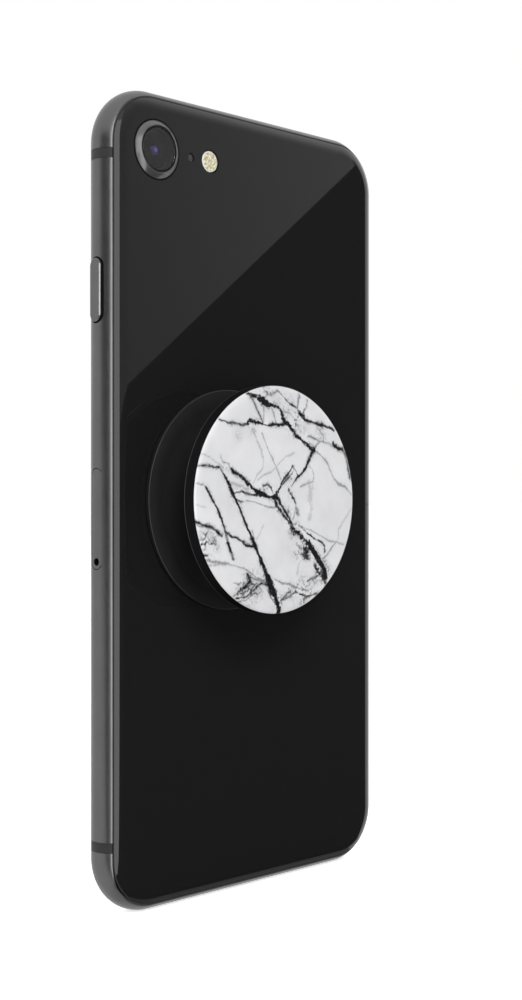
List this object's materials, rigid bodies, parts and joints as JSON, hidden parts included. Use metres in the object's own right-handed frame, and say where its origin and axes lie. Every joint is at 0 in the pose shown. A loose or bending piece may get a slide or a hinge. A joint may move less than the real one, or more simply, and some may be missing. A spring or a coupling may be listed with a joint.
{
  "type": "smartphone with collapsible grip",
  "caption": "Glass-backed smartphone with a rounded metal band, sliding SIM tray and sprung side buttons, carrying a round collapsible grip with a twist-off cap on its back.",
  "frame": {"origin": "centre of the footprint of the upright phone and grip, on the surface that the bottom edge stands on", "axes": "+Z along the phone towards its top edge, +Y out of the display, -Y out of the back and the grip, +X towards the volume buttons"},
  "size_m": [0.068, 0.0198, 0.1384],
  "materials": {
    "grey_metal": "bead-blasted dark grey anodising",
    "dark_metal": "polished near-black",
    "insert_polymer": "satin grey",
    "black_glass": "black-backed polished glass",
    "seal_rubber": "matt black",
    "black_plastic": "matt black",
    "steel": "plain stamped steel",
    "copper": "wound copper",
    "board": "solder mask",
    "cell": "matt pouch",
    "cream_lens": "translucent cream",
    "grip_plastic": "smooth black moulding",
    "grip_rubber": "satin black elastomer",
    "marble_print": "white marble print under a clear coat"
  },
  "bodies": {
    "phone": {"mid_frame": "grey_metal", "antenna_insert_left_top": "insert_polymer", "antenna_insert_left_bottom": "insert_polymer", "antenna_insert_right_top": "insert_polymer", "antenna_insert_right_bottom": "insert_polymer", "back_glass": "black_glass", "display_glass": "black_glass", "display_seal": "seal_rubber", "back_seal": "seal_rubber", "side_switch": "black_plastic", "volume_up_switch": "black_plastic", "volume_down_switch": "black_plastic", "ring_switch_body": "black_plastic", "sim_reader": "steel", "eject_rod": "steel", "eject_lever": "steel", "camera_bezel": "dark_metal", "camera_window": "black_glass", "camera_module": "black_plastic", "flash_lens": "cream_lens", "flash_led": "cream_lens", "rear_microphone": "steel", "flash_board": "board", "display_panel": "black_plastic", "display_shield": "steel", "display_frame": "black_plastic", "home_ring": "dark_metal", "home_button": "black_glass", "home_sensor": "black_plastic", "earpiece_mesh": "steel", "earpiece_speaker": "black_plastic", "front_camera": "black_plastic", "charge_port": "steel", "loudspeaker": "black_plastic", "haptic_motor": "steel", "bottom_microphone": "steel", "bottom_screw_left": "steel", "bottom_screw_right": "steel", "battery": "cell", "logic_board": "board", "board_screw_1": "steel", "board_screw_2": "steel", "board_screw_3": "steel", "shield_can_upper": "steel", "shield_can_lower": "steel", "charging_coil": "copper", "grip_pad": "seal_rubber", "grip_base": "grip_plastic", "grip_bellows": "grip_rubber"},
    "side_button": {"side_button": "grey_metal"},
    "volume_up": {"volume_up_button": "grey_metal"},
    "volume_down": {"volume_down_button": "grey_metal"},
    "ring_switch": {"ring_switch": "grey_metal"},
    "sim_tray": {"sim_tray": "grey_metal"},
    "camera_lens": {"camera_barrel": "black_plastic"},
    "grip_hub": {"grip_hub": "grip_plastic"},
    "grip_cap": {"grip_cap": "grip_plastic", "grip_face": "marble_print"}
  },
  "joints": [
    {"name": "side_button_press", "type": "slide", "parent": "phone", "child": "side_button", "axis": [1, 0, 0], "range_m": [0, 0.00035], "stiffness_N_per_m": 3000, "springref_m": -0.0003},
    {"name": "volume_up_press", "type": "slide", "parent": "phone", "child": "volume_up", "axis": [-1, 0, 0], "range_m": [0, 0.00035], "stiffness_N_per_m": 3000, "springref_m": -0.0003},
    {"name": "volume_down_press", "type": "slide", "parent": "phone", "child": "volume_down", "axis": [-1, 0, 0], "range_m": [0, 0.00035], "stiffness_N_per_m": 3000, "springref_m": -0.0003},
    {"name": "ring_switch_slide", "type": "slide", "parent": "phone", "child": "ring_switch", "axis": [0, -1, 0], "range_m": [0, 0.0013]},
    {"name": "sim_tray_slide", "type": "slide", "parent": "phone", "child": "sim_tray", "axis": [-1, 0, 0], "range_m": [0, 0.022]},
    {"name": "lens_focus", "type": "slide", "parent": "phone", "child": "camera_lens", "axis": [0, -1, 0], "range_m": [0, 0.00025], "stiffness_N_per_m": 100, "springref_m": -0.0001},
    {"name": "grip_extend", "type": "slide", "parent": "phone", "child": "grip_hub", "axis": [0, -1, 0], "range_m": [-0.006, 0.0075], "deforming": ["grip_bellows"]},
    {"name": "grip_cap_twist", "type": "hinge", "parent": "grip_hub", "child": "grip_cap", "pos_m": [-0.007, 0, 0.0693], "axis": [0, -1, 0], "range_deg": [0, 90]}
  ]
}
